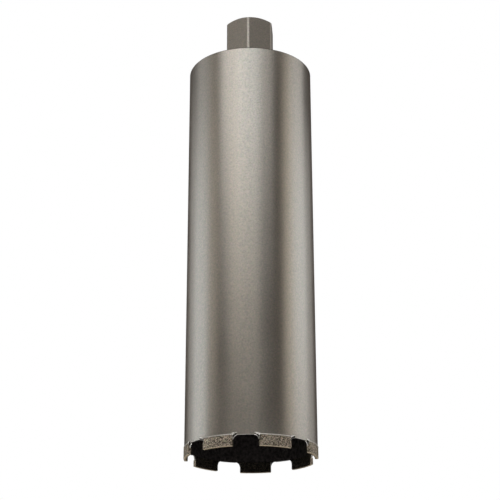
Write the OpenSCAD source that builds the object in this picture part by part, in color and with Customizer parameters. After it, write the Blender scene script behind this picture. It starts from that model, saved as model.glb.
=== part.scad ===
// Wet core bit: a steel barrel with a crown of diamond segments at its mouth,
// closed at the back by a plate that carries a threaded hexagonal hub.
// It stands on its crown, on the axis, with +Z up towards the hub.
// Every angle around the axis is counted from +X towards +Y.

/* [Crown] */
// Cutting diameter, over the segments
cut_d = 112; // [90:1:160]
// Number of segments around the crown
segment_count = 7; // [5:1:9]
// Length of one segment, between its two parallel ends
segment_len = 27; // [20:0.5:30]
// Height of one segment
segment_h = 9.3; // [8.5:0.1:15]
// Thickness of one segment, across the kerf
segment_t = 3.5; // [3.2:0.1:5]
// Small bevel on the edges of a segment's cutting face
segment_edge = 0.4; // [0.2:0.1:0.8]
// How deep each segment is let into the end of the barrel
seat_depth = 0.2; // [0.1:0.1:2]

/* [Webs at the segment ends] */
// Radius of the hollow corner between a segment's end and the water slot
web_r = 3.5; // [2:0.1:4.5]
// Thickness left at the tip of a web
web_tip = 0.3; // [0.2:0.1:1]
// Width of the bevel ground on the outside of a web and of the segment beside it
web_bevel_w = 1.7; // [0.8:0.1:2.5]
// Depth of that bevel into the barrel's wall
web_bevel_depth = 1.3; // [0.6:0.1:1.8]
// Radius of the weld bead above each segment
bead_r = 0.5; // [0.3:0.05:0.8]

/* [Barrel] */
// How far the segments stand out beyond the barrel
side_clearance = 0.65; // [0.3:0.05:1.5]
// Thickness of the barrel's wall
wall = 2.3; // [1.9:0.1:3]
// Drilling depth, from the cutting plane to the end plate
drill_depth = 350; // [100:5:450]
// Radius of the rounded outer edge at the top of the barrel
rim_r = 0.6; // [0.3:0.1:1.5]

/* [End plate] */
// Thickness of the plate that closes the barrel
plate_t = 5; // [4:0.5:12]
// How far the plate lies below the barrel's top edge
plate_recess = 1.5; // [1:0.1:3]
// Leg of the weld fillet between plate and barrel
plate_weld = 1.2; // [0.8:0.1:2]

/* [Hub] */
// Size across the hub's wrench flats
hub_flats = 41.3; // [38:0.1:55]
// How much the turned bar takes off each corner of the hexagon
corner_cut = 0.6; // [0.3:0.1:1.5]
// Height of the hub above the end plate
hub_h = 53.5; // [45:0.5:80]
// Height of the round collar that is left below the flats
collar_h = 8; // [5:0.5:15]
// Radius of the shallow dome that takes the corners off the hub's end
hub_dome_r = 43; // [35:1:70]
// How far inside the flats that dome starts
hub_dome_w = 1; // [0.5:0.1:2]
// Leg of the weld fillet around the collar
collar_weld = 3; // [2:0.5:5]
// Diameter of the spigot that passes through the plate
spigot_d = 36; // [32:0.5:40]
// Outside diameter of the hub's internal thread
thread_major_d = 31.75; // [25:0.05:33]
// Inside diameter of that thread, which is the bore's diameter
thread_minor_d = 28; // [22:0.05:29]
// Depth of the threaded bore, from the hub's end
thread_depth = 44; // [30:1:50]
// How far the countersink at the hub's mouth is wider than the thread, on the radius
mouth_relief = 0.4; // [0.2:0.1:1]
// Diameter of the water way from the thread into the barrel
water_d = 20; // [8:0.5:21]

/* [Hidden] */
$fn = 96;
overlap = 1;

cut_r = cut_d / 2;
barrel_r = cut_r - side_clearance;
bore_r = barrel_r - wall;
slot_roof_z = segment_h - seat_depth;
plate_z = drill_depth;
plate_top_z = plate_z + plate_t;
barrel_top_z = plate_top_z + plate_recess;
hub_top_z = plate_top_z + hub_h;
hexagon_d = hub_flats / cos(30);
hub_bar_d = hexagon_d - 2 * corner_cut;
segment_pitch = 360 / segment_count;
// The first water slot lies under one corner of the hexagon, on -Y
first_segment_a = -90 + segment_pitch / 2;

half_len = segment_len / 2;
// The hollow corner's centre, raised a little so that it creases the slot's roof
web_crease = 0.15;
web_y = half_len + web_tip + web_r;
web_z = slot_roof_z - web_r + web_crease;
web_a = asin(web_y / barrel_r);
// The bead lies on the wall just above the segment
bead_gap = 0.1;
bead_z = segment_h + bead_gap + bead_r;
bead_half_a = asin(half_len / barrel_r);
// Cutters start here, just inside the wall, so that neighbours stay apart
inside_x = sqrt(bore_r ^ 2 - web_y ^ 2) - overlap;

function segment_name(k) = str("segment_", k + 1);

// Turns its children so that +X points through the middle of segment k
module at_segment(k) {
    rotate([0, 0, first_segment_a + k * segment_pitch])
        children();
}

// Both ends of a segment, the second a mirror image of the first
module both_ends() {
    children();
    mirror([0, 1, 0])
        children();
}

// Section of the barrel's wall, with its top edge rounded outside
module wall_section() {
    start_z = web_z - overlap;
    difference() {
        translate([bore_r, start_z])
            square([wall, barrel_top_z - start_z]);
        difference() {
            translate([barrel_r - rim_r, barrel_top_z - rim_r])
                square(rim_r + overlap);
            translate([barrel_r - rim_r, barrel_top_z - rim_r])
                circle(rim_r);
        }
    }
}

// Web seen from the axis: its hollow corner meets the slot's roof at a slight crease
module web_outline() {
    difference() {
        translate([half_len - overlap, web_z])
            square([web_y - half_len + overlap, web_r + overlap]);
        translate([web_y, web_z])
            circle(web_r);
    }
}

// Web that a water slot leaves beside the end of a segment, with wall to spare
module web() {
    translate([inside_x, 0, 0])
        rotate([90, 0, 90])
            linear_extrude(cut_r + 2 * overlap - inside_x)
                web_outline();
}

// Wedge between two segments, seen from above, that reaches a little under both
module slot_wedge() {
    apex_x = (half_len - overlap / 2) / sin(segment_pitch / 2);
    outer_x = cut_r + overlap;
    outer_y = (outer_x - apex_x) * tan(segment_pitch / 2);
    polygon([
        [apex_x, 0],
        [outer_x, -outer_y],
        [outer_x, outer_y]
    ]);
}

// Water slot on +X, between one segment and the next, with a web at each side
module water_slot() {
    difference() {
        linear_extrude(slot_roof_z)
            slot_wedge();
        both_ends()
            rotate([0, 0, -segment_pitch / 2])
                web();
    }
}

// Cone around the hollow corner of a web, wider on the outside
module bevel_cone() {
    slope = web_bevel_w / web_bevel_depth;
    cone_h = web_bevel_depth + side_clearance + 2 * overlap;
    narrow_r = web_r - overlap * slope;
    rotate([0, 0, web_a])
        translate([barrel_r - web_bevel_depth - overlap, 0, web_z])
            rotate([0, 90, 0])
                rotate([0, 0, 180 / $fn])
                    cylinder(h = cone_h, r1 = narrow_r, r2 = narrow_r + cone_h * slope);
}

// Bevel on the outside of a web, which stops at the start of the slot's roof
module web_bevel() {
    intersection() {
        bevel_cone();
        translate([inside_x, half_len - overlap, web_z - overlap])
            cube([cut_r + overlap - inside_x, web_y - half_len + overlap, segment_h]);
    }
}

// The same bevel where it runs on into the segment, down to the hollow corner's centre
module segment_bevel() {
    intersection() {
        bevel_cone();
        translate([inside_x, 0, web_z])
            cube([cut_r + overlap - inside_x, web_y, segment_h]);
    }
}

// Weld bead along the joint between a segment and the barrel's outside
module bead() {
    rotate([0, 0, -bead_half_a])
        rotate_extrude(angle = 2 * bead_half_a)
            translate([barrel_r, bead_z])
                circle(bead_r);
}

// Seat for one segment, cut through the wall from below
module seat() {
    translate([inside_x, -half_len, -overlap])
        cube([cut_r + overlap - inside_x, segment_len, segment_h + overlap]);
}

// Barrel's wall with its beads, water slots and a seat for each segment
module seated_wall() {
    difference() {
        union() {
            rotate_extrude()
                wall_section();
            for (k = [0 : segment_count - 1])
                at_segment(k)
                    bead();
        }
        for (k = [0 : segment_count - 1]) {
            at_segment(k + 1 / 2)
                water_slot();
            at_segment(k)
                seat();
        }
    }
}

// The same wall, with the webs bevelled outside
module crowned_wall() {
    difference() {
        seated_wall();
        for (k = [0 : segment_count - 1])
            at_segment(k)
                both_ends()
                    web_bevel();
    }
}

module barrel() {
    color([0.56, 0.55, 0.52])
        crowned_wall();
}

// Ring that the segments are cut from, with its cutting edges bevelled
module segment_ring() {
    rotate_extrude()
        polygon([
            [cut_r - segment_t + segment_edge, 0],
            [cut_r - segment_edge, 0],
            [cut_r, segment_edge],
            [cut_r, segment_h],
            [cut_r - segment_t, segment_h],
            [cut_r - segment_t, segment_edge]
        ]);
}

// Outline of a segment seen from the axis, with parallel ends
module segment_outline() {
    polygon([
        [-half_len + segment_edge, 0],
        [half_len - segment_edge, 0],
        [half_len, segment_edge],
        [half_len, segment_h],
        [-half_len, segment_h],
        [-half_len, segment_edge]
    ]);
}

// Arc of sintered metal and diamond, bevelled like the web at its upper corners
module segment(k) {
    color([0.42, 0.40, 0.36])
        at_segment(k)
            difference() {
                intersection() {
                    segment_ring();
                    rotate([90, 0, 90])
                        linear_extrude(cut_r + overlap)
                            segment_outline();
                }
                both_ends()
                    segment_bevel();
            }
}

// Plate with a rim that is welded to the barrel just below its top edge
module end_plate() {
    color([0.50, 0.49, 0.47])
        rotate_extrude()
            polygon([
                [spigot_d / 2, plate_z],
                [bore_r, plate_z],
                [bore_r, plate_top_z + plate_weld],
                [bore_r - plate_weld, plate_top_z],
                [spigot_d / 2, plate_top_z]
            ]);
}

// Hexagonal bar with two flats facing +X and -X and corners on +Y and -Y
module hexagon() {
    rotate([0, 0, 30])
        circle(d = hexagon_d, $fn = 6);
}

// Section of the hub's turned outside: spigot, weld fillet, collar, bar and dome
module turned_section() {
    end_r = hub_flats / 2 - hub_dome_w;
    dome_z = hub_top_z - sqrt(hub_dome_r ^ 2 - end_r ^ 2);
    difference() {
        polygon([
            [0, plate_z],
            [spigot_d / 2, plate_z],
            [spigot_d / 2, plate_top_z],
            [hub_bar_d / 2 + collar_weld, plate_top_z],
            [hub_bar_d / 2, plate_top_z + collar_weld],
            [hub_bar_d / 2, hub_top_z],
            [0, hub_top_z]
        ]);
        difference() {
            translate([0, hub_top_z - hub_bar_d / 2])
                square(hub_bar_d);
            translate([0, dome_z])
                circle(hub_dome_r);
        }
    }
}

// Space above the collar and outside the hexagon, milled away for the flats
module flats_cut() {
    translate([0, 0, plate_top_z + collar_h])
        linear_extrude(hub_h)
            difference() {
                circle(d = hub_bar_d + 2 * overlap);
                hexagon();
            }
}

// Threaded bore at its inside diameter, with a countersunk mouth above it and,
// below it, a taper down to the water way; both cones are at 45 degrees
module hub_bore() {
    thread_r = thread_minor_d / 2;
    water_r = water_d / 2;
    mouth_r = thread_major_d / 2 + mouth_relief;
    mouth_h = mouth_r - thread_r;
    taper_h = thread_r - water_r;
    thread_end_z = hub_top_z - thread_depth;
    rotate_extrude()
        polygon([
            [0, plate_z - overlap],
            [water_r, plate_z - overlap],
            [water_r, thread_end_z - taper_h],
            [thread_r, thread_end_z],
            [thread_r, hub_top_z - mouth_h],
            [mouth_r, hub_top_z],
            [mouth_r, hub_top_z + overlap],
            [0, hub_top_z + overlap]
        ]);
}

module hub() {
    color([0.45, 0.43, 0.40])
        difference() {
            rotate_extrude()
                turned_section();
            flats_cut();
            hub_bore();
        }
}

barrel();
end_plate();
hub();
for (k = [0 : segment_count - 1])
    segment(k);
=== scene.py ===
# %% [markdown]
# # A diamond core bit, dressed in Blender
#
# A core bit cuts a round hole and leaves the core standing inside it. Seven sintered
# segments do the cutting, a long steel barrel carries them, and a plate with a threaded
# hexagonal hub closes the barrel's top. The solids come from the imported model, at real
# size. This file gives them the finish of the real tool, piece by piece, and sets up a
# camera and a small studio around them.

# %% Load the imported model
import math

import bmesh
import bpy
from mathutils import Matrix, Vector


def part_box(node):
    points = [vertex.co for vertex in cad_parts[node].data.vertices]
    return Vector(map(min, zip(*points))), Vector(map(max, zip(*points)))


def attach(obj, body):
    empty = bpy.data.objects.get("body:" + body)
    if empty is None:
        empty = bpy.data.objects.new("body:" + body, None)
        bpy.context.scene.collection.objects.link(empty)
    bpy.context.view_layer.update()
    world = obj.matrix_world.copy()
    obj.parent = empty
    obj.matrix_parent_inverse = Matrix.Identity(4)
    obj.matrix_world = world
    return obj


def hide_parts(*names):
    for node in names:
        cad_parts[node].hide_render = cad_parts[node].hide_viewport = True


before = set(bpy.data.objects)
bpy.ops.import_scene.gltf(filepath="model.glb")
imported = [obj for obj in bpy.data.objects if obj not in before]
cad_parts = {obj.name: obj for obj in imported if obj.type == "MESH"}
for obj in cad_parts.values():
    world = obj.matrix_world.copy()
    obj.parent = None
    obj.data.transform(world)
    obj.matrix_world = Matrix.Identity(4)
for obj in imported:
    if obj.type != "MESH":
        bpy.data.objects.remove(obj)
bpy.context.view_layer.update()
MM = 0.001
print("nodes:", ", ".join(sorted(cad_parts)))

# %% [markdown]
# ## Sizes
#
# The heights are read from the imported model, so that every new piece sits where its
# solid does. Radii and small sizes are the tool's own, in metres.

# %% Heights and radii
SEGMENT_COUNT = 7
SEGMENT_PITCH = math.radians(360 / SEGMENT_COUNT)
FIRST_SEGMENT = math.radians(-90) + SEGMENT_PITCH / 2
SEGMENT_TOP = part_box("segment_4")[1].z
BARREL_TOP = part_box("barrel")[1].z
PLATE_T = 5 * MM
PLATE_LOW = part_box("end_plate")[0].z
PLATE_TOP = PLATE_LOW + PLATE_T
HUB_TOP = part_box("hub")[1].z
CUT_R = 56 * MM
BARREL_R = 55.35 * MM
BORE_R = 53.05 * MM
print("segments reach %.1f mm, the barrel %.1f mm, the hub %.1f mm"
      % (SEGMENT_TOP / MM, BARREL_TOP / MM, HUB_TOP / MM))

# %% [markdown]
# ## Camera
#
# The photograph looks up at the crown from well below it. The numbers were fitted to
# the outlines of the barrel, the crown and the hexagon: how far the camera stands from
# the axis, how low it is, and how it is tilted. One corner of the hexagon shows a
# little to the left of the axis, so the camera stands a few degrees round from it. The
# lens is written as it was measured, in pixels of the square photograph, and is turned
# into millimetres for the camera.

# %% Camera
CAMERA_DISTANCE = 1.0813
CAMERA_HEIGHT = -0.2278
CAMERA_AZIMUTH = math.radians(4.282)
CAMERA_PITCH = math.radians(20.943)
CAMERA_YAW = math.radians(-0.025)
CAMERA_ROLL = math.radians(-0.116)
PHOTO_SIDE = 500
FOCAL_PIXELS = 1321.3
SENSOR_MM = 36

lens = bpy.data.cameras.new("camera")
lens.sensor_fit = "HORIZONTAL"
lens.sensor_width = SENSOR_MM
lens.lens = FOCAL_PIXELS / PHOTO_SIDE * SENSOR_MM
lens.clip_start = 0.05
lens.clip_end = 50
camera = bpy.data.objects.new("camera", lens)
bpy.context.scene.collection.objects.link(camera)
bpy.context.scene.camera = camera

forward = Vector((math.sin(CAMERA_YAW) * math.cos(CAMERA_PITCH),
                  math.cos(CAMERA_YAW) * math.cos(CAMERA_PITCH),
                  math.sin(CAMERA_PITCH)))
level_right = Vector((math.cos(CAMERA_YAW), -math.sin(CAMERA_YAW), 0))
level_up = level_right.cross(forward)
right = level_right * math.cos(CAMERA_ROLL) + level_up * math.sin(CAMERA_ROLL)
up = level_up * math.cos(CAMERA_ROLL) - level_right * math.sin(CAMERA_ROLL)
aim = Matrix((right, up, -forward)).transposed().to_4x4()
stand = Matrix.Translation((0, -CAMERA_DISTANCE, CAMERA_HEIGHT))
camera.matrix_world = Matrix.Rotation(CAMERA_AZIMUTH, 4, "Z") @ stand @ aim
print("camera at", tuple(round(v, 3) for v in camera.location))

# %% [markdown]
# ## Node helpers
#
# Every material here is a small graph. One helper adds a node, sets its properties and
# fills its inputs, and links an input wherever it is given another node's output.

# %% Node helpers
def add_node(tree, kind, inputs=None, **settings):
    """A new node with these properties, its inputs filled or linked."""
    made = tree.nodes.new(kind)
    for name, value in settings.items():
        setattr(made, name, value)
    for name, value in (inputs or {}).items():
        if isinstance(value, bpy.types.NodeSocket):
            tree.links.new(value, made.inputs[name])
        else:
            made.inputs[name].default_value = value
    return made


def new_material(name):
    """An empty node material, and its tree."""
    material = bpy.data.materials.new(name)
    material.use_nodes = True
    material.node_tree.nodes.clear()
    return material, material.node_tree


# %% [markdown]
# ## Studio
#
# The backdrop is plain white: the world is white to the camera, and to mirror-like and
# see-through rays, and dimmer to everything else. The floor is pale and takes the
# tool's shadow. The camera looks from below it, so it is clear from underneath.

# %% World and floor
WORLD_FILL = 0.7
FLOOR_SIDE = 12
FLOOR_GAP = 0.3 * MM
FLOOR_COLOUR = (0.80, 0.80, 0.79, 1)

world = bpy.data.worlds.new("white_studio")
bpy.context.scene.world = world
world.use_nodes = True
tree = world.node_tree
tree.nodes.clear()
path = add_node(tree, "ShaderNodeLightPath")
seen = add_node(tree, "ShaderNodeMath", {0: path.outputs["Is Camera Ray"],
                                         1: path.outputs["Is Glossy Ray"]},
                operation="MAXIMUM")
seen = add_node(tree, "ShaderNodeMath", {0: seen.outputs[0],
                                         1: path.outputs["Is Transmission Ray"]},
                operation="MAXIMUM")
strength = add_node(tree, "ShaderNodeMapRange", {"Value": seen.outputs[0], "To Min": WORLD_FILL})
shine = add_node(tree, "ShaderNodeBackground", {"Color": (1, 1, 1, 1),
                                                "Strength": strength.outputs[0]})
add_node(tree, "ShaderNodeOutputWorld", {"Surface": shine.outputs[0]})

bpy.ops.mesh.primitive_plane_add(size=FLOOR_SIDE, location=(0, 0, -FLOOR_GAP))
floor = bpy.context.object
floor.name = "floor"
material, tree = new_material("floor_paper")
paper = add_node(tree, "ShaderNodeBsdfDiffuse", {"Color": FLOOR_COLOUR})
clear = add_node(tree, "ShaderNodeBsdfTransparent")
side = add_node(tree, "ShaderNodeNewGeometry")
path = add_node(tree, "ShaderNodeLightPath")
open_to = add_node(tree, "ShaderNodeMath", {0: side.outputs["Backfacing"],
                                            1: path.outputs["Is Shadow Ray"]},
                   operation="MAXIMUM")
mix = add_node(tree, "ShaderNodeMixShader", {0: open_to.outputs[0], 1: paper.outputs[0],
                                             2: clear.outputs[0]})
add_node(tree, "ShaderNodeOutputMaterial", {"Surface": mix.outputs[0]})
floor.data.materials.append(material)
print("world fill %.1f, floor %g m square" % (WORLD_FILL, FLOOR_SIDE))

# %% [markdown]
# A round satin tube shows its surroundings as upright bands. Soft boxes on both sides
# and a high bank in front give the three bright bands, and dark cards behind the boxes
# keep the rest of the tube dark, as in any studio that takes pictures of metal. Angles
# are counted round the tool from the camera, to the right. Cards show only in
# reflections, so they stay out of the picture.

# %% Soft boxes and cards
LAMP_DISTANCE = 2.3
CARD_DISTANCE = 3
AIM_HEIGHT = 0.2
WHITE = (1, 1, 1)


def from_camera(angle, distance, height):
    """A point at that angle to the right of the camera, seen from the tool's axis."""
    turn = CAMERA_AZIMUTH + math.radians(angle)
    return Vector((distance * math.sin(turn), -distance * math.cos(turn), height))


def soft_box(name, angle, height, width, tall, power, colour=WHITE, distance=LAMP_DISTANCE,
             aim_height=AIM_HEIGHT):
    """A lamp with a square-cornered front, aimed at a point on the tool's axis."""
    lamp = bpy.data.lights.new(name, "AREA")
    lamp.shape = "RECTANGLE"
    lamp.size = width
    lamp.size_y = tall
    lamp.energy = power
    lamp.color = colour
    holder = bpy.data.objects.new(name, lamp)
    bpy.context.scene.collection.objects.link(holder)
    holder.location = from_camera(angle, distance, height)
    look = Vector((0, 0, aim_height)) - holder.location
    holder.rotation_euler = look.to_track_quat("-Z", "Y").to_euler()
    holder.visible_camera = False
    return holder


def dark_card(name, centre, tall, rotation, colour):
    """A faintly glowing sheet that is seen in reflections and nowhere else."""
    bpy.ops.mesh.primitive_plane_add(size=2 * CARD_DISTANCE, location=centre, rotation=rotation)
    card = bpy.context.object
    card.name = name
    card.scale.y = tall / (2 * CARD_DISTANCE)
    material, tree = new_material(name)
    glow = add_node(tree, "ShaderNodeEmission", {"Color": colour})
    add_node(tree, "ShaderNodeOutputMaterial", {"Surface": glow.outputs[0]})
    card.data.materials.append(material)
    card.visible_camera = False
    card.visible_diffuse = False
    card.visible_shadow = False
    card.visible_transmission = False


# %% [markdown]
# Each bank is made of a few boxes, because its light falls off towards its ends. The
# front bank hangs high, so that the middle of the tube is bright at the top and dark at
# the crown. Four levels of power are enough: the key boxes make the bright bands, the
# side box is a softer key, the fill boxes widen the bands and the faint ones soften their
# ends. A last box shines up from below, through the clear floor, and catches the edges
# that face down. It is sampled as a lamp only, because the floor lets shadow rays through
# and stops reflected ones.

# %% Place the lights
COOL = (0.91, 0.96, 1)
WARM = (1, 0.93, 0.82)

KEY = 7
SIDE = 4
FILL = 2.4
FAINT = 1.3

soft_box("left_low", -100, 0.70, 1.6, 1.2, KEY, COOL)
soft_box("left_high", -98, 1.60, 1.6, 0.6, FAINT)
soft_box("left_front", -70, 1.05, 0.8, 0.9, FAINT, WARM)
soft_box("left_back", -130, 0.85, 0.8, 1.1, FAINT)
soft_box("front_left", -37, 1.65, 1.6, 0.8, KEY)
soft_box("front", -1, 1.65, 1.6, 0.7, KEY, COOL)
soft_box("front_right", 30, 1.65, 1.0, 0.85, FILL)
soft_box("front_low", -12, 1.10, 2.3, 0.5, FILL, WARM)
soft_box("right_front", 71, 1.00, 0.8, 1.2, FILL, WARM)
soft_box("right_low", 99, 0.40, 1.6, 0.6, FILL)
soft_box("right", 99, 1.00, 1.6, 0.6, SIDE, COOL)
soft_box("right_high", 97, 1.60, 1.6, 0.6, FILL)
soft_box("right_back", 130, 0.75, 0.8, 1.1, FAINT)
below = soft_box("below", 0, -1.20, 1.2, 1.2, SIDE, distance=0.3, aim_height=0)
below.data.cycles.use_multiple_importance_sampling = False
print("lamps:", ", ".join(sorted(lamp.name for lamp in bpy.data.lights)))

# %% [markdown]
# The four cards round the tool glow with a little warm light, as dark cloth in a lit room
# does. The one overhead is lighter: the photograph hardly sees it, and it keeps the faces
# that look up from going black in other views.

# %% Hang the cards
CARD_GLOW = (0.035, 0.024, 0.016, 1)
ROOF_GLOW = (0.3, 0.29, 0.28, 1)
CARD_LOW = -2.5
CARD_TOP = 3.2

for angle in (0, 90, 180, -90):
    centre = from_camera(angle, CARD_DISTANCE, (CARD_LOW + CARD_TOP) / 2)
    dark_card("card_%d" % angle, centre, CARD_TOP - CARD_LOW,
              (math.radians(90), 0, CAMERA_AZIMUTH + math.radians(angle)), CARD_GLOW)
dark_card("card_above", (0, 0, CARD_TOP), 2 * CARD_DISTANCE, (0, 0, CAMERA_AZIMUTH), ROOF_GLOW)
print("cards %g m away, up to %g m high" % (CARD_DISTANCE, CARD_TOP))

# %% [markdown]
# ## Shared effects
#
# Several materials need the same effects, so each effect is a node group that gives a
# colour, a mask or a height. `blast_grain` is the fine speckle of a blasted surface.
# `edge_wear` finds edges by comparing the surface with a rounded copy of itself.
# `turning_marks` are the rings a lathe tool leaves, by radius on a flat face and by
# height on a round one. `smudges` are the faint large stains of handling. The helpers
# come first: a group is opened with its sockets, placed with `use`, and two small ones
# mix colours and move a value from one range to another.

# %% Group helpers
def new_group(name, inputs, outputs):
    """An empty shader group with these sockets, and the sockets of its input node."""
    tree = bpy.data.node_groups.new(name, "ShaderNodeTree")
    for label, value in inputs.items():
        kind = "NodeSocketVector" if value is None else "NodeSocketFloat"
        socket = tree.interface.new_socket(label, in_out="INPUT", socket_type=kind)
        if value is not None:
            socket.default_value = value
    for label, kind in outputs.items():
        tree.interface.new_socket(label, in_out="OUTPUT", socket_type="NodeSocket" + kind)
    return tree, add_node(tree, "NodeGroupInput").outputs


def use(tree, group, **inputs):
    """The outputs of a shader group placed in this tree, with its own values."""
    return add_node(tree, "ShaderNodeGroup", inputs, node_tree=group).outputs


def mixed(tree, factor, first, second, blend="MIX"):
    """The socket of two mixed colours."""
    node = add_node(tree, "ShaderNodeMix", {0: factor, 6: first, 7: second},
                    data_type="RGBA", blend_type=blend)
    return node.outputs[2]


def ranged(tree, value, low, high, to_low, to_high):
    """The socket of a value moved from one range to another, and kept inside it."""
    return add_node(tree, "ShaderNodeMapRange",
                    {"Value": value, "From Min": low, "From Max": high, "To Min": to_low,
                     "To Max": to_high}).outputs["Result"]


# %% [markdown]
# Blast grain is fine noise in two sizes: the coarser one tints the colour a little, and the
# finer one is the height of the pits. Edge wear could be painted by hand, but a mask that
# compares the true normal with one rounded by the Bevel node finds every edge by itself.

# %% Blast grain and edge wear
blast_grain, given = new_group("blast_grain", {"Place": None, "Size": 900, "Spread": 0.1},
                               {"Tone": "Color", "Height": "Float"})
speck = add_node(blast_grain, "ShaderNodeTexNoise",
                 {"Vector": given["Place"], "Scale": given["Size"], "Detail": 2})
tinted = mixed(blast_grain, 0.3, speck.outputs["Fac"], speck.outputs["Color"])
double = add_node(blast_grain, "ShaderNodeMath", {0: given["Spread"], 1: 2},
                  operation="MULTIPLY")
rest = add_node(blast_grain, "ShaderNodeMath", {0: 1, 1: given["Spread"]},
                operation="SUBTRACT")
tone = add_node(blast_grain, "ShaderNodeVectorMath",
                {0: tinted, 1: double.outputs[0], 2: rest.outputs[0]}, operation="MULTIPLY_ADD")
pits_size = add_node(blast_grain, "ShaderNodeMath", {0: given["Size"], 1: 1.7},
                     operation="MULTIPLY")
pits = add_node(blast_grain, "ShaderNodeTexNoise",
                {"Vector": given["Place"], "Scale": pits_size.outputs[0], "Detail": 3})
add_node(blast_grain, "NodeGroupOutput", {"Tone": tone.outputs[0],
                                          "Height": pits.outputs["Fac"]})

edge_wear, given = new_group("edge_wear", {"Radius": 0.4 * MM}, {"Mask": "Float"})
rounded = add_node(edge_wear, "ShaderNodeBevel", {"Radius": given["Radius"]}, samples=6)
flat = add_node(edge_wear, "ShaderNodeNewGeometry")
match = add_node(edge_wear, "ShaderNodeVectorMath",
                 {0: rounded.outputs[0], 1: flat.outputs["Normal"]}, operation="DOT_PRODUCT")
add_node(edge_wear, "NodeGroupOutput",
         {"Mask": ranged(edge_wear, match.outputs["Value"], 0.99, 0.85, 0, 1)})

# %% [markdown]
# Turning marks are noise that changes with radius and height and not round the axis, so
# it is read from a point that holds only those two. Smudges are slow noise about 1.

# %% Turning marks and smudges
turning_marks, given = new_group("turning_marks", {"Place": None, "Pitch": 0.25 * MM},
                                 {"Height": "Float"})
axes = add_node(turning_marks, "ShaderNodeSeparateXYZ", {"Vector": given["Place"]}).outputs
flat_place = add_node(turning_marks, "ShaderNodeCombineXYZ", {"X": axes["X"], "Y": axes["Y"]})
radius = add_node(turning_marks, "ShaderNodeVectorMath", {0: flat_place.outputs[0]},
                  operation="LENGTH")
lines = add_node(turning_marks, "ShaderNodeMath", {0: 1, 1: given["Pitch"]}, operation="DIVIDE")
across = add_node(turning_marks, "ShaderNodeCombineXYZ", {"X": radius.outputs["Value"],
                                                          "Z": axes["Z"]})
rings = add_node(turning_marks, "ShaderNodeTexNoise",
                 {"Vector": across.outputs[0], "Scale": lines.outputs[0], "Detail": 2})
add_node(turning_marks, "NodeGroupOutput", {"Height": rings.outputs["Fac"]})

smudges, given = new_group("smudges", {"Place": None, "Size": 14, "Spread": 0.03},
                           {"Tone": "Float"})
cloud = add_node(smudges, "ShaderNodeTexNoise",
                 {"Vector": given["Place"], "Scale": given["Size"], "Detail": 4,
                  "Distortion": 0.6})
low = add_node(smudges, "ShaderNodeMath", {0: 1, 1: given["Spread"]}, operation="SUBTRACT")
high = add_node(smudges, "ShaderNodeMath", {0: 1, 1: given["Spread"]}, operation="ADD")
add_node(smudges, "NodeGroupOutput",
         {"Tone": ranged(smudges, cloud.outputs["Fac"], 0.3, 0.7, low.outputs[0],
                         high.outputs[0])})
print("groups:", ", ".join(sorted(group.name for group in bpy.data.node_groups)))

# %% [markdown]
# ## Metals
#
# All the steels share one graph and differ in colour, gloss and grain, so a function makes
# them. Each finish is a material of its own and not a mask, because faces can then be given
# their finish by where they lie. Where edges are worn the colour turns to bright bare steel.

# %% Steels
BRIGHT_STEEL = (0.62, 0.59, 0.54, 1)


def steel(name, colour, roughness, grain=750, spread=0.4, depth=0.03, wear=0.0, marks=0.0):
    """Steel with speckle and handling marks and, if asked, worn edges and turning marks."""
    material, tree = new_material(name)
    place = add_node(tree, "ShaderNodeTexCoord").outputs["Object"]
    speckle = use(tree, blast_grain, Place=place, Size=grain, Spread=spread)
    stain = use(tree, smudges, Place=place)["Tone"]
    base = mixed(tree, 1, colour, speckle["Tone"], "MULTIPLY")
    base = mixed(tree, 1, base, stain, "MULTIPLY")
    if wear:
        worn = use(tree, edge_wear)["Mask"]
        share = add_node(tree, "ShaderNodeMath", {0: worn, 1: wear}, operation="MULTIPLY")
        base = mixed(tree, share.outputs[0], base, BRIGHT_STEEL)
    gloss = ranged(tree, stain, 0.97, 1.03, roughness - 0.02, roughness + 0.02)
    bump = add_node(tree, "ShaderNodeBump", {"Height": speckle["Height"], "Strength": 0.3,
                                             "Distance": depth * MM})
    if marks:
        rings = use(tree, turning_marks, Place=place)["Height"]
        bump = add_node(tree, "ShaderNodeBump", {"Height": rings, "Strength": 0.4,
                                                 "Distance": marks * MM,
                                                 "Normal": bump.outputs[0]})
    metal = add_node(tree, "ShaderNodeBsdfPrincipled",
                     {"Base Color": base, "Metallic": 1, "Roughness": gloss,
                      "Normal": bump.outputs[0]})
    add_node(tree, "ShaderNodeOutputMaterial", {"Surface": metal.outputs[0]})
    return material


blasted_barrel = steel("blasted_barrel", (0.43, 0.402, 0.36, 1), 0.32)
hub_steel = steel("blasted_hub", (0.405, 0.374, 0.332, 1), 0.39, wear=0.3)
plate_steel = steel("turned_plate", (0.40, 0.375, 0.34, 1), 0.32, marks=0.03)
worn_steel = steel("worn_edge", (0.8, 0.77, 0.72, 1), 0.3)
weld_metal = steel("weld_metal", (0.72, 0.69, 0.64, 1), 0.3, grain=1600)
print("steels:", ", ".join(metal.name for metal in (blasted_barrel, hub_steel, plate_steel,
                                                    worn_steel, weld_metal)))
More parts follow.
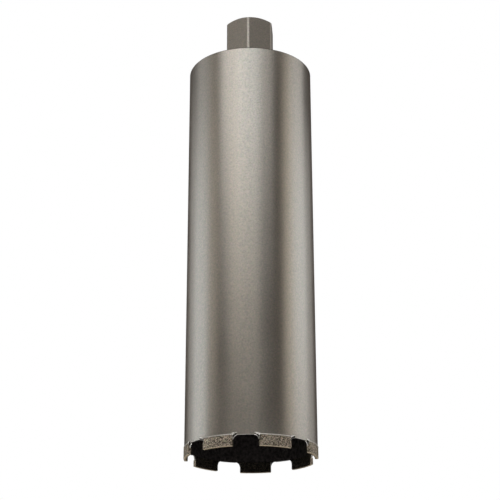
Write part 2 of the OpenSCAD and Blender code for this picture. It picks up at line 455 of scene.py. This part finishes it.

# %% [markdown]
# The tube's inside was never blasted: it keeps its dark, mottled mill scale. The cut faces
# of the crown are darker still: soot from the welding, and painted shade in the slots and
# the ground recesses.

# %% Scale, soot and painted shade
def dark_steel(name, dark, light, upright):
    """Oxidised steel, mottled from dark to light; upright under 1 draws the spots out."""
    material, tree = new_material(name)
    place = add_node(tree, "ShaderNodeTexCoord").outputs["Object"]
    pulled = add_node(tree, "ShaderNodeMapping", {"Vector": place, "Scale": (1, 1, upright)})
    mottle = add_node(tree, "ShaderNodeTexNoise",
                      {"Vector": pulled.outputs[0], "Scale": 420, "Detail": 5})
    spots = ranged(tree, mottle.outputs["Fac"], 0.35, 0.65, 0, 1)
    base = mixed(tree, spots, dark, light)
    pits = use(tree, blast_grain, Place=place, Size=1100)
    base = mixed(tree, 1, base, pits["Tone"], "MULTIPLY")
    gloss = ranged(tree, spots, 0, 1, 0.6, 0.5)
    bump = add_node(tree, "ShaderNodeBump", {"Height": pits["Height"], "Strength": 0.5,
                                             "Distance": 0.06 * MM})
    metal = add_node(tree, "ShaderNodeBsdfPrincipled",
                     {"Base Color": base, "Metallic": 0.7, "Roughness": gloss,
                      "Normal": bump.outputs[0]})
    add_node(tree, "ShaderNodeOutputMaterial", {"Surface": metal.outputs[0]})
    return material


inside_steel = dark_steel("mill_scale", (0.05, 0.042, 0.04, 1), (0.15, 0.129, 0.123, 1), 0.9)
# Weld soot and painted shade: the crown's cut faces are darkened where shade falls in the slots.
soot_and_painted_shade = dark_steel("soot_and_painted_shade", (0.014, 0.012, 0.01, 1),
                            (0.06, 0.052, 0.043, 1), 1)
print("dark steels:", inside_steel.name, "and", soot_and_painted_shade.name)

# %% [markdown]
# The segments' matrix is sintered bronze and steel powder: cells of slightly different
# metal, dull, worn bright at the cutting face with a painted highlight along it, and darkened
# as painted shade on the side that faces the core. The diamond grit in it is yellowish and
# glassy.

# %% Sintered metal and grit
sintered_metal, tree = new_material("sintered_metal")
place = add_node(tree, "ShaderNodeTexCoord").outputs["Object"]
shift = add_node(tree, "ShaderNodeTexNoise", {"Vector": place, "Scale": 1500, "Detail": 2})
warped = add_node(tree, "ShaderNodeVectorMath",
                  {0: shift.outputs["Color"], 1: (0.9 * MM, 0.9 * MM, 0.9 * MM), 2: place},
                  operation="MULTIPLY_ADD")
cells = add_node(tree, "ShaderNodeTexVoronoi", {"Vector": warped.outputs[0], "Scale": 1700})
cell_tone = add_node(tree, "ShaderNodeSeparateColor", {"Color": cells.outputs["Color"]})
spread = add_node(tree, "ShaderNodeMath", {0: cell_tone.outputs[0], 1: 1.8},
                  operation="POWER")
base = mixed(tree, spread.outputs[0], (0.05, 0.041, 0.032, 1), (0.68, 0.575, 0.455, 1))
speckle = use(tree, blast_grain, Place=place, Size=1300, Spread=1)
base = mixed(tree, 1, base, speckle["Tone"], "MULTIPLY")
# Wear and a painted highlight: the lowest part of the segment, at the cutting face, is lightened.
heights = add_node(tree, "ShaderNodeSeparateXYZ", {"Vector": place})
wear_and_painted_highlight = ranged(tree, heights.outputs["Z"], 0.38 * MM, 0.75 * MM, 0.55, 0)
base = mixed(tree, wear_and_painted_highlight, base, (0.88, 0.76, 0.58, 1))
# Painted shade: faces that look in towards the core are darkened in colour.
outward = add_node(tree, "ShaderNodeVectorMath", {0: place}, operation="NORMALIZE")
facing = add_node(tree, "ShaderNodeVectorMath",
                  {0: outward.outputs[0],
                   1: add_node(tree, "ShaderNodeNewGeometry").outputs["Normal"]},
                  operation="DOT_PRODUCT")
painted_inner_shade = ranged(tree, facing.outputs["Value"], -0.6, -0.2, 0.32, 1)
base = mixed(tree, 1, base, painted_inner_shade, "MULTIPLY")
bump = add_node(tree, "ShaderNodeBump", {"Height": speckle["Height"], "Strength": 0.8,
                                         "Distance": 0.08 * MM})
metal = add_node(tree, "ShaderNodeBsdfPrincipled",
                 {"Base Color": base, "Metallic": 0.85, "Roughness": 0.5,
                  "Normal": bump.outputs[0]})
add_node(tree, "ShaderNodeOutputMaterial", {"Surface": metal.outputs[0]})

diamond_grit, tree = new_material("diamond_grit")
place = add_node(tree, "ShaderNodeTexCoord").outputs["Object"]
speckle = use(tree, blast_grain, Place=place, Size=1500, Spread=0.6)
base = mixed(tree, 1, (0.42, 0.38, 0.24, 1), speckle["Tone"], "MULTIPLY")
stone = add_node(tree, "ShaderNodeBsdfPrincipled",
                 {"Base Color": base, "Roughness": 0.18, "IOR": 2.0})
add_node(tree, "ShaderNodeOutputMaterial", {"Surface": stone.outputs[0]})
print("segments of", sintered_metal.name, "with", diamond_grit.name)

# %% [markdown]
# ## Modelling helpers
#
# Operators act on whatever is selected, so each step first selects one object and
# nothing else. `draw` makes a line the way it is done by hand: one vertex, extruded from
# point to point. `turn` spins such a line round the tool's axis, which is how every
# round piece here begins, as on a lathe. `tally` prints what a step has made.

# %% Selecting and finishing
def only(piece):
    """Leaves edit mode and selects this piece and no other."""
    if bpy.context.object and bpy.context.object.mode != "OBJECT":
        bpy.ops.object.mode_set(mode="OBJECT")
    bpy.ops.object.select_all(action="DESELECT")
    piece.select_set(True)
    bpy.context.view_layer.objects.active = piece
    return piece


def edit(piece):
    """Opens the piece in edit mode with all its vertices selected."""
    only(piece)
    bpy.ops.object.mode_set(mode="EDIT")
    bpy.ops.mesh.select_mode(type="VERT")
    bpy.ops.mesh.select_all(action="SELECT")


SELECT_MODE = {"verts": "VERT", "edges": "EDGE", "faces": "FACE"}


def middle_of(part):
    """The middle of a vertex, an edge or a face."""
    if isinstance(part, bmesh.types.BMVert):
        return part.co
    if isinstance(part, bmesh.types.BMEdge):
        return (part.verts[0].co + part.verts[1].co) / 2
    return part.calc_center_median()


def pick(piece, kind, test):
    """Selects, in edit mode, the verts, edges or faces that pass a test of middle and element."""
    bpy.ops.mesh.select_mode(type=SELECT_MODE[kind])
    bpy.ops.mesh.select_all(action="DESELECT")
    mesh = bmesh.from_edit_mesh(piece.data)
    for part in getattr(mesh, kind):
        if test(middle_of(part), part):
            part.select_set(True)
    bmesh.update_edit_mesh(piece.data)


def settle(piece):
    """Leaves edit mode and puts the object's place into its mesh."""
    only(piece)
    bpy.ops.object.transform_apply(location=True, rotation=True, scale=True)
    return piece


def modify(piece, kind, **settings):
    """Adds a modifier with these settings and applies it."""
    only(piece)
    added = piece.modifiers.new(kind.lower(), kind)
    for name, value in settings.items():
        setattr(added, name, value)
    bpy.ops.object.modifier_apply(modifier=added.name)
    return piece


def remove(*pieces):
    for piece in pieces:
        only(piece)
        bpy.ops.object.delete()


def tally(piece):
    """Prints a piece's triangles and its lowest and highest point."""
    piece.data.calc_loop_triangles()
    heights = [vertex.co.z / MM for vertex in piece.data.vertices]
    print("%s: %d triangles, from %.1f to %.1f mm up"
          % (piece.name, len(piece.data.loop_triangles), min(heights), max(heights)))


# %% [markdown]
# A line is drawn in the plane through the axis, as on a drawing of a turned part. Spinning
# it all the way round leaves a seam, so doubled points are merged before the normals are
# made to point outwards.

# %% Drawing and turning
def draw(name, points, closed=False):
    """A line of (radius, height) points in the XZ plane, drawn by extruding one vertex."""
    bpy.ops.mesh.primitive_plane_add(size=MM)
    line = bpy.context.object
    line.name = name
    edit(line)
    bpy.ops.mesh.merge(type="CENTER")
    pen = Vector((points[0][0], 0, points[0][1]))
    bpy.ops.transform.translate(value=pen)
    for radius, height in points[1:]:
        point = Vector((radius, 0, height))
        bpy.ops.mesh.extrude_region_move(TRANSFORM_OT_translate={"value": point - pen})
        pen = point
    if closed:
        pick(line, "verts", lambda middle, part: len(part.link_edges) == 1)
        bpy.ops.mesh.edge_face_add()
    return line


def turn(line, steps, angle=2 * math.pi):
    """Spins a drawn line anticlockwise round the Z axis into a surface, starting at +X."""
    edit(line)
    bpy.ops.mesh.spin(steps=steps, angle=-angle, center=(0, 0, 0), axis=(0, 0, 1))
    bpy.ops.mesh.select_all(action="SELECT")
    bpy.ops.mesh.remove_doubles(threshold=MM / 1000)
    bpy.ops.mesh.normals_make_consistent(inside=False)
    return settle(line)


def arc(centre_r, centre_z, radius, start, end, count):
    """Points on an arc in the section plane, with angles in degrees from +X."""
    steps = [math.radians(start + (end - start) * k / count) for k in range(count + 1)]
    return [(centre_r + radius * math.cos(a), centre_z + radius * math.sin(a)) for a in steps]


# %% [markdown]
# There are seven of everything round the crown, so one is modelled on the X axis and turned
# copies are made of it. An Array modifier would keep them in one mesh, but here each copy
# has its own. Cuts use the exact Boolean solver, which copes with faces in one plane.

# %% Copying, joining and cutting
def turned_copies(pattern, first):
    """One copy of a piece for each segment, each with its own mesh, a pitch apart."""
    made = []
    for k in range(SEGMENT_COUNT):
        only(pattern)
        bpy.ops.object.duplicate()
        copy = bpy.context.object
        copy.rotation_euler.z = first + k * SEGMENT_PITCH
        made.append(settle(copy))
    remove(pattern)
    return made


def join(pieces, name):
    """Joins these pieces into the first one, under a new name."""
    only(pieces[0])
    for piece in pieces:
        piece.select_set(True)
    bpy.ops.object.join()
    joined = bpy.context.object
    joined.name = name
    return joined


def cut(piece, cutter):
    """Takes the cutter out of the piece, and removes the cutter."""
    modify(piece, "BOOLEAN", object=cutter, operation="DIFFERENCE", solver="EXACT")
    remove(cutter)


def finish_edges(piece, width, angle=30, material=-1):
    """Breaks the sharp edges and shades the rest smoothly, with large faces kept true."""
    modify(piece, "BEVEL", limit_method="ANGLE", angle_limit=math.radians(angle), width=width,
           segments=2, use_clamp_overlap=False, material=material)
    only(piece)
    bpy.ops.object.shade_smooth_by_angle(angle=math.radians(angle))
    modify(piece, "WEIGHTED_NORMAL", keep_sharp=True, weight=100)


# %% [markdown]
# ## Barrel
#
# The real barrel is a steel tube. It could be one cylinder cut out of another, but its
# rounded rim would then need a bevel of its own. So the section is drawn once, with a
# rounded outer edge at the top, and turned. An extra ring just above the crown keeps the
# cuts below it from disturbing the long, smooth wall.

# %% Turn the tube
WALL_STEPS = 280
CROWN_RING = 13 * MM
RIM_R = 0.6 * MM
BARREL_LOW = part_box("barrel")[0].z

section = [(BORE_R, CROWN_RING), (BORE_R, BARREL_LOW), (BARREL_R, BARREL_LOW),
           (BARREL_R, CROWN_RING)]
section += arc(BARREL_R - RIM_R, BARREL_TOP - RIM_R, RIM_R, 0, 90, 5)
section += [(BORE_R, BARREL_TOP)]
barrel = turn(draw("barrel_tube", section, closed=True), WALL_STEPS)
tally(barrel)

# %% [markdown]
# The crown is milled out of the tube: seven water slots with hollow corners, and a
# shallow seat for each segment. Faces of the tube could be pulled up for the slots, but the
# slots' sides don't follow its rings, so they are cut. The cutter for one slot is a block
# whose sides run along the ends of the two segments beside it. Its upper corners are
# rounded with a bevel, and turned copies of it make the other six.

# %% Mill the slots and seats
SEAT_DEPTH = 0.2 * MM
SLOT_ROOF = SEGMENT_TOP - SEAT_DEPTH
HALF_LENGTH = 13.5 * MM
WEB_TIP = 0.3 * MM
WEB_R = 3.5 * MM
CUTTER_IN = 50 * MM
CUTTER_OUT = 60 * MM

apex = (HALF_LENGTH + WEB_TIP) / math.sin(SEGMENT_PITCH / 2)
inner_half, outer_half = ((reach - apex) * math.tan(SEGMENT_PITCH / 2)
                          for reach in (CUTTER_IN, CUTTER_OUT))
bpy.ops.mesh.primitive_cube_add(location=((CUTTER_IN + CUTTER_OUT) / 2, 0, (SLOT_ROOF - MM) / 2))
slot_cutter = bpy.context.object
slot_cutter.scale = ((CUTTER_OUT - CUTTER_IN) / 2, inner_half, (SLOT_ROOF + MM) / 2)
edit(settle(slot_cutter))
pick(slot_cutter, "faces", lambda middle, part: middle.x > CUTTER_OUT - MM)
bpy.ops.transform.resize(value=(1, outer_half / inner_half, 1), center_override=(0, 0, 0))
pick(slot_cutter, "edges", lambda middle, part: middle.z > SLOT_ROOF - MM
     and part.calc_length() >= CUTTER_OUT - CUTTER_IN and abs(middle.y) > MM)
bpy.ops.mesh.bevel(offset=WEB_R, segments=12, affect="EDGES")

only(slot_cutter)
bpy.ops.mesh.primitive_cube_add(location=((CUTTER_IN + CUTTER_OUT) / 2, 0, SEGMENT_TOP / 2 - MM))
seat_cutter = bpy.context.object
seat_cutter.scale = ((CUTTER_OUT - CUTTER_IN) / 2, HALF_LENGTH, SEGMENT_TOP / 2 + MM)
settle(seat_cutter)
cutters = turned_copies(slot_cutter, FIRST_SEGMENT + SEGMENT_PITCH / 2)
cutters += turned_copies(seat_cutter, FIRST_SEGMENT)
cut(barrel, join(cutters, "crown_cutters"))
tally(barrel)

# %% [markdown]
# What is left beside a segment's end is a thin web. Outside it is ground back around
# its hollow corner, and the grinder runs on into the segment. A bevel of the web's edge
# would stop at the web, so web and segment are cut by the same cone, whose axis points
# out through the corner's centre. The cone is cut off at the start of the slot's roof and
# at the height of its own centre, and mirrored for the other end.

# %% Grind the bevels
WEB_Y = HALF_LENGTH + WEB_TIP + WEB_R
WEB_Z = BARREL_LOW
BEVEL_W = 1.7 * MM
BEVEL_DEPTH = 1.3 * MM
CONE_H = BEVEL_DEPTH + 3 * MM


def bevel_cones():
    """The grinding cones for both ends of a segment that lies on +X."""
    slope = BEVEL_W / BEVEL_DEPTH
    narrow_r = WEB_R - slope * MM
    inner = BARREL_R - BEVEL_DEPTH - MM
    bpy.ops.mesh.primitive_cone_add(vertices=96, depth=CONE_H, radius1=narrow_r,
                                    radius2=narrow_r + slope * CONE_H)
    cone = bpy.context.object
    cone.matrix_world = (Matrix.Rotation(math.asin(WEB_Y / BARREL_R), 4, "Z")
                         @ Matrix.Translation((inner + CONE_H / 2, 0, WEB_Z))
                         @ Matrix.Rotation(math.radians(90), 4, "Y"))
    edit(settle(cone))
    bpy.ops.mesh.bisect(plane_co=(0, WEB_Y, 0), plane_no=(0, 1, 0), clear_outer=True,
                        use_fill=True)
    bpy.ops.mesh.select_all(action="SELECT")
    bpy.ops.mesh.bisect(plane_co=(0, 0, WEB_Z), plane_no=(0, 0, -1), clear_outer=True,
                        use_fill=True)
    only(cone)
    bpy.ops.object.duplicate()
    twin = bpy.context.object
    twin.scale.y = -1
    edit(settle(twin))
    bpy.ops.mesh.normals_make_consistent(inside=False)
    return join([cone, twin], "bevel_cones")


cut(barrel, join(turned_copies(bevel_cones(), FIRST_SEGMENT), "bevel_cutters"))
tally(barrel)

# %% [markdown]
# Cutting leaves doubled points, which are merged, and many small flat faces, which are
# dissolved below the ring. Then the edges are broken by a narrow bevel. Each face gets its
# finish by where it lies: the blasted outside, the inside that was never blasted, the
# turned flat of the top rim, and the dark finish of the cut faces and the rim's rounding:
# weld scorch, and on the cut faces of the crown also painted shade. Only the edges on the
# outside are worn bright; the inner ones take the dark finish of the faces beside them.

# %% Clean the crown and mark its finishes
OUTSIDE, INSIDE, CUT_FACE, WORN_EDGE, TURNED = range(5)
EDGE_BREAK = 0.3 * MM
MERGE = 0.08 * MM
FLAT_ENOUGH = math.radians(0.2)
LOOKS_IN, LOOKS_OUT, LOOKS_UP = -0.9, 0.95, 0.9

edit(barrel)
bpy.ops.mesh.remove_doubles(threshold=MERGE)
pick(barrel, "faces", lambda middle, part: middle.z < CROWN_RING)
bpy.ops.mesh.dissolve_limited(angle_limit=FLAT_ENOUGH)
only(barrel)
for metal in (blasted_barrel, inside_steel, soot_and_painted_shade, worn_steel, plate_steel):
    barrel.data.materials.append(metal)
finish_edges(barrel, EDGE_BREAK, material=WORN_EDGE)
for face in barrel.data.polygons:
    radius = face.center.xy.length
    outward = face.normal.xy.dot(face.center.xy) / radius
    at_rim = face.center.z > BARREL_TOP - RIM_R
    if face.material_index == WORN_EDGE and radius > BORE_R + EDGE_BREAK and not at_rim:
        continue
    if outward < LOOKS_IN:
        face.material_index = INSIDE
    elif at_rim and face.normal.z > LOOKS_UP:
        face.material_index = TURNED
    elif at_rim or face.center.z < CROWN_RING and outward < LOOKS_OUT:
        face.material_index = CUT_FACE
    else:
        face.material_index = OUTSIDE

barrel.name = "barrel_tube"
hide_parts("barrel")
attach(barrel, "root")
tally(barrel)

# %% [markdown]
# ## Segments
#
# A segment is pressed and sintered from metal powder and diamond grit, so no face of it
# is really flat. Bump in the material would leave its outline smooth, so the roughness is
# real. One segment is turned from its section, cut to length, bevelled at its corners by
# the same cones as the webs, and remeshed into small even faces. Each copy is then
# roughened where it stands, so that no two are alike. The section starts inside its true
# size by what the roughness and a whole crystal can add, so that nothing stands proud.

# %% Press one segment
SEGMENT_T = 3.5 * MM
ROUGHNESS_DEPTH = 0.16 * MM
GRIT_R = 0.18 * MM
GRIT_ROOM = ROUGHNESS_DEPTH / 2 + GRIT_R
CUTTING_EDGE = 0.4 * MM
GRAIN_FACE = 0.24 * MM
SEGMENT_STEPS = 40
SPARE = 1.1
SHARP = math.radians(60)

outer_r, inner_r = CUT_R - GRIT_ROOM, CUT_R - SEGMENT_T + GRIT_ROOM
section = [(inner_r, GRIT_ROOM), (outer_r, GRIT_ROOM), (outer_r, SEGMENT_TOP),
           (inner_r, SEGMENT_TOP)]
half_turn = math.asin(HALF_LENGTH / inner_r) * SPARE
segment = turn(draw("segment", section, closed=True), SEGMENT_STEPS, 2 * half_turn)
segment.rotation_euler.z = -half_turn
edit(settle(segment))
for side in (-1, 1):
    bpy.ops.mesh.select_all(action="SELECT")
    bpy.ops.mesh.bisect(plane_co=(0, side * (HALF_LENGTH - GRIT_ROOM / 2), 0),
                        plane_no=(0, side, 0), clear_outer=True, use_fill=True)
bpy.ops.mesh.select_all(action="SELECT")
bpy.ops.mesh.normals_make_consistent(inside=False)
pick(segment, "edges", lambda middle, part: middle.z < GRIT_ROOM * SPARE
     and part.calc_face_angle(0) > SHARP)
bpy.ops.mesh.bevel(offset=CUTTING_EDGE, segments=1, affect="EDGES")
tally(only(segment))
cut(segment, bevel_cones())
modify(segment, "REMESH", mode="VOXEL", voxel_size=GRAIN_FACE, use_smooth_shade=True)
tally(segment)

# %% [markdown]
# The surface is pushed in and out a little by a fine cloud texture. The grit is real
# geometry too: seeded points on the surface, each with a small crystal turned at random
# and sunk to half its size. Copies made one by one would be slow, and Geometry nodes
# scatter them in one step. The crystal is a low icosphere, because there are many hundreds
# of it.

# %% Roughen the segments and set the grit
GRIT_PER_M2 = 420000

powder = bpy.data.textures.new("sintered_powder", "CLOUDS")
powder.noise_scale = 0.55 * MM
powder.noise_depth = 3


def grit_scatter(seed):
    """Geometry nodes that set crystals of grit into a segment's surface."""
    tree = bpy.data.node_groups.new("grit_scatter", "GeometryNodeTree")
    for way in ("INPUT", "OUTPUT"):
        tree.interface.new_socket("Geometry", in_out=way, socket_type="NodeSocketGeometry")
    start = tree.nodes.new("NodeGroupInput")
    points = add_node(tree, "GeometryNodeDistributePointsOnFaces",
                      {"Mesh": start.outputs[0], "Density": GRIT_PER_M2, "Seed": seed})
    crystal = add_node(tree, "GeometryNodeMeshIcoSphere", {"Radius": GRIT_R, "Subdivisions": 1})
    turn_any = add_node(tree, "FunctionNodeRandomValue",
                        {"Max": (math.tau, math.tau, math.tau), "Seed": seed + 1},
                        data_type="FLOAT_VECTOR")
    size_any = add_node(tree, "FunctionNodeRandomValue",
                        {"Min": (0.45, 0.45, 0.45), "Max": (1.0, 1.0, 1.0), "Seed": seed + 2},
                        data_type="FLOAT_VECTOR")
    set_in = add_node(tree, "GeometryNodeInstanceOnPoints",
                      {"Points": points.outputs["Points"], "Instance": crystal.outputs["Mesh"],
                       "Rotation": turn_any.outputs[0], "Scale": size_any.outputs[0]})
    real = add_node(tree, "GeometryNodeRealizeInstances", {"Geometry": set_in.outputs[0]})
    coat = add_node(tree, "GeometryNodeSetMaterial",
                    {"Geometry": real.outputs[0], "Material": diamond_grit})
    both = tree.nodes.new("GeometryNodeJoinGeometry")
    tree.links.new(start.outputs[0], both.inputs[0])
    tree.links.new(coat.outputs[0], both.inputs[0])
    add_node(tree, "NodeGroupOutput", {"Geometry": both.outputs[0]})
    return tree


segment.data.materials.append(sintered_metal)
segment.data.materials.append(diamond_grit)
segments = turned_copies(segment, FIRST_SEGMENT)
for k, segment in enumerate(segments):
    segment.name = "diamond_segment_%d" % (k + 1)
    modify(segment, "DISPLACE", texture=powder, texture_coords="LOCAL",
           strength=ROUGHNESS_DEPTH, mid_level=0.5)
    modify(segment, "NODES", node_group=grit_scatter(10 * k))
    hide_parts("segment_%d" % (k + 1))
    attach(segment, "root")
    tally(segment)

# %% [markdown]
# ## Welds
#
# A weld bead is a row of overlapping scales, each a small bath of metal that froze before
# the next. A smooth ring with bump would look poured, so the scales are modelled: a round
# bar is turned along the joint with three rings of vertices to a scale, and the first two
# are drawn in, which leaves a step where the next scale begins. One function does it for
# the beads above the segments, at the collar and at the rim.

# %% Ripple a bead
RINGS = 3
DRAWN_IN = (0.3, 0.1)


def bead_bar(name, radius, height, bead_r, scales, angle=2 * math.pi, sides=10):
    """A rippled bar of weld metal, turned about the Z axis from +X."""
    ring = arc(radius, height, bead_r, 0, 360 - 360 / sides, sides - 1)
    bead = turn(draw(name, ring, closed=True), RINGS * scales, angle)
    edit(bead)
    for step, share in enumerate(DRAWN_IN):
        pick(bead, "verts", lambda middle, part: step == round(
            math.atan2(middle.y, middle.x) / angle * RINGS * scales) % RINGS)
        bpy.ops.transform.shrink_fatten(value=-share * bead_r)
    return only(bead)


def finish_weld(weld):
    """Smooths a bead, gives it its metal and puts it with the piece it is welded to."""
    only(weld)
    bpy.ops.object.shade_smooth_by_angle(angle=math.radians(50))
    weld.data.materials.append(weld_metal)
    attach(weld, "root")
    tally(weld)


# %% [markdown]
# Above each segment the bead is thin. Where it passes the ends it rises over the ground
# bevels in a thick blob, which is long at the end that leads when the bit turns and short
# at the other. Each blob is a flattened sphere, joined to the bead by a Boolean so that
# bead and blobs are one closed skin.

# %% Segment welds
BEAD_R = 0.5 * MM
BEAD_GAP = 0.1 * MM
BEAD_Z = SEGMENT_TOP + BEAD_GAP + BEAD_R
BEAD_HALF = 13 * MM
BEAD_SCALES = 32
BLOB_PLACES = ((-15 * MM, 2.9 * MM), (14.5 * MM, 1.6 * MM))
BLOB_LIFT = 0.4 * MM
BLOB_DEPTH = 0.6 * MM
BLOB_HEIGHT = 0.9 * MM
BLOB_TILT = math.radians(11)

half_turn = BEAD_HALF / BARREL_R
bead = bead_bar("segment_weld", BARREL_R, BEAD_Z, BEAD_R, BEAD_SCALES, 2 * half_turn)
bead.rotation_euler.z = -half_turn
edit(settle(bead))
bpy.ops.mesh.fill_holes(sides=0)
only(bead)
for along, half_length in BLOB_PLACES:
    bpy.ops.mesh.primitive_uv_sphere_add(segments=16, ring_count=12, radius=1)
    blob = bpy.context.object
    blob.matrix_world = (Matrix.Rotation(along / BARREL_R, 4, "Z")
                         @ Matrix.Translation((BARREL_R, 0, BEAD_Z + BLOB_LIFT))
                         @ Matrix.Rotation(math.copysign(BLOB_TILT, along), 4, "X")
                         @ Matrix.Diagonal((BLOB_DEPTH, half_length, BLOB_HEIGHT)).to_4x4())
    modify(bead, "BOOLEAN", object=settle(blob), operation="UNION", solver="EXACT")
    remove(blob)
for k, bead in enumerate(turned_copies(bead, FIRST_SEGMENT)):
    bead.name = "segment_weld_%d" % (k + 1)
    finish_weld(bead)

# %% [markdown]
# The hub's collar and the end plate's rim are welded all the way round, with wider beads.

# %% Collar and rim welds
COLLAR_BEAD_R = 1.5 * MM
COLLAR_WELD_R = 24.2 * MM
COLLAR_WELD_Z = PLATE_TOP + 0.9 * MM
COLLAR_SCALES = 95
RIM_BEAD_R = 0.85 * MM
RIM_WELD_R = 52.3 * MM
RIM_WELD_Z = PLATE_TOP + 0.6 * MM
RIM_SCALES = 274

collar_weld = bead_bar("collar_weld", COLLAR_WELD_R, COLLAR_WELD_Z, COLLAR_BEAD_R,
                       COLLAR_SCALES, sides=14)
finish_weld(collar_weld)
rim_weld = bead_bar("rim_weld", RIM_WELD_R, RIM_WELD_Z, RIM_BEAD_R, RIM_SCALES)
finish_weld(rim_weld)

# %% [markdown]
# ## Hub
#
# The hub could start as a six-sided cylinder, but then the dome's curved cut across the
# flats and the narrow strips on the corners would have to be modelled one by one. As a
# turned bar it gets both for nothing. It is turned with its bore: spigot, a cone where the
# weld sits, collar, and a shallow dome at the end. Milling the six flats takes away all
# that is outside a hexagonal prism above the collar. What the flats leave of the turned bar
# is the narrow bright strip on each corner.

# %% Turn the hub and mill its flats
HUB_FLATS = 41.3 * MM
HEXAGON_R = HUB_FLATS / 2 / math.cos(math.radians(30))
CORNER_LOSS = 0.6 * MM
BAR_R = HEXAGON_R - CORNER_LOSS
SPIGOT_R = 18 * MM
COLLAR_WELD = 3 * MM
COLLAR_H = 8 * MM
COLLAR_TOP = PLATE_TOP + COLLAR_H
WATER_R = 10 * MM
THREAD_MINOR_R = 14 * MM
THREAD_MAJOR_R = 15.875 * MM
THREAD_DEPTH = 44 * MM
THREAD_LOW = HUB_TOP - THREAD_DEPTH
MOUTH_ROOM = 0.4 * MM
MOUTH_R = THREAD_MAJOR_R + MOUTH_ROOM
DOME_R = 43 * MM
DOME_EDGE_R = HUB_FLATS / 2 - MM
HUB_STEPS = 192

dome_z = HUB_TOP - math.sqrt(DOME_R ** 2 - DOME_EDGE_R ** 2)
dome_end = math.degrees(math.acos(DOME_EDGE_R / DOME_R))
dome_start = math.degrees(math.acos(BAR_R / DOME_R))
section = [(WATER_R, PLATE_LOW), (SPIGOT_R, PLATE_LOW), (SPIGOT_R, PLATE_TOP),
           (BAR_R + COLLAR_WELD, PLATE_TOP), (BAR_R, PLATE_TOP + COLLAR_WELD)]
section += arc(0, dome_z, DOME_R, dome_start, dome_end, 8)
section += [(MOUTH_R, HUB_TOP), (THREAD_MINOR_R, HUB_TOP - MOUTH_R + THREAD_MINOR_R),
            (THREAD_MINOR_R, THREAD_LOW), (WATER_R, THREAD_LOW - THREAD_MINOR_R + WATER_R)]
hub = turn(draw("threaded_hub", section, closed=True), HUB_STEPS)

bpy.ops.mesh.primitive_cylinder_add(vertices=6, radius=HEXAGON_R, depth=4 * COLLAR_TOP)
prism = bpy.context.object
bpy.ops.mesh.primitive_cylinder_add(vertices=64, radius=2 * BAR_R,
                                    depth=HUB_TOP - COLLAR_TOP + MM,
                                    location=(0, 0, (HUB_TOP + COLLAR_TOP + MM) / 2))
milling = settle(bpy.context.object)
cut(milling, prism)
cut(hub, milling)
tally(hub)

# %% [markdown]
# The thread in the bore is real as well, because its ridges show in profile at the mouth,
# where bump would fail. One turn of its ridge, a seventh of an inch from crest to crest,
# goes through the Screw modifier to make a threaded bar, whose ends are cut flat and
# filled. Taking that bar out of the hub leaves the thread.

# %% Cut the thread
INCH = 25.4 * MM
THREAD_PITCH = INCH / 7
THREAD_TURNS = 15
CREST = THREAD_PITCH / 8
ROOT = THREAD_PITCH / 4
FOOT_SUNK = 0.1 * MM
THREAD_RUNOUT = 2 * MM

flank = (THREAD_PITCH - CREST - ROOT) / 2
foot_r = THREAD_MINOR_R - FOOT_SUNK
ridge = [(foot_r, 0), (foot_r, ROOT), (THREAD_MAJOR_R, ROOT + flank),
         (THREAD_MAJOR_R, ROOT + flank + CREST), (foot_r, THREAD_PITCH)]
tap = draw("tap", [(r, z + THREAD_LOW - THREAD_PITCH) for r, z in ridge])
modify(tap, "SCREW", angle=math.tau, screw_offset=THREAD_PITCH, iterations=THREAD_TURNS,
       steps=96, render_steps=96, use_merge_vertices=True)
edit(tap)
bpy.ops.mesh.remove_doubles(threshold=MM / 1000)
for height, facing in ((THREAD_LOW + THREAD_RUNOUT, -1), (HUB_TOP + MM, 1)):
    bpy.ops.mesh.select_all(action="SELECT")
    bpy.ops.mesh.bisect(plane_co=(0, 0, height), plane_no=(0, 0, facing), clear_outer=True,
                        use_fill=True)
bpy.ops.mesh.select_all(action="SELECT")
bpy.ops.mesh.normals_make_consistent(inside=False)
cut(hub, settle(tap))
finish_edges(hub, EDGE_BREAK)
hub.data.materials.append(hub_steel)
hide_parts("hub")
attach(hub, "root")
tally(hub)

# %% [markdown]
# ## End plate
#
# The plate is a plain turned ring, and its solid already has the right shape. It only
# gets its finish, the fine rings that a lathe tool leaves.

# %% Finish the end plate
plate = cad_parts["end_plate"]
plate.data.materials.clear()
plate.data.materials.append(plate_steel)
tally(plate)

# %% [markdown]
# ## Colour
#
# The render shows its colours as they are, with the Standard view transform. It has to
# stay inside the solids' box.

# %% Set the view transform
bpy.context.scene.view_settings.view_transform = "Standard"
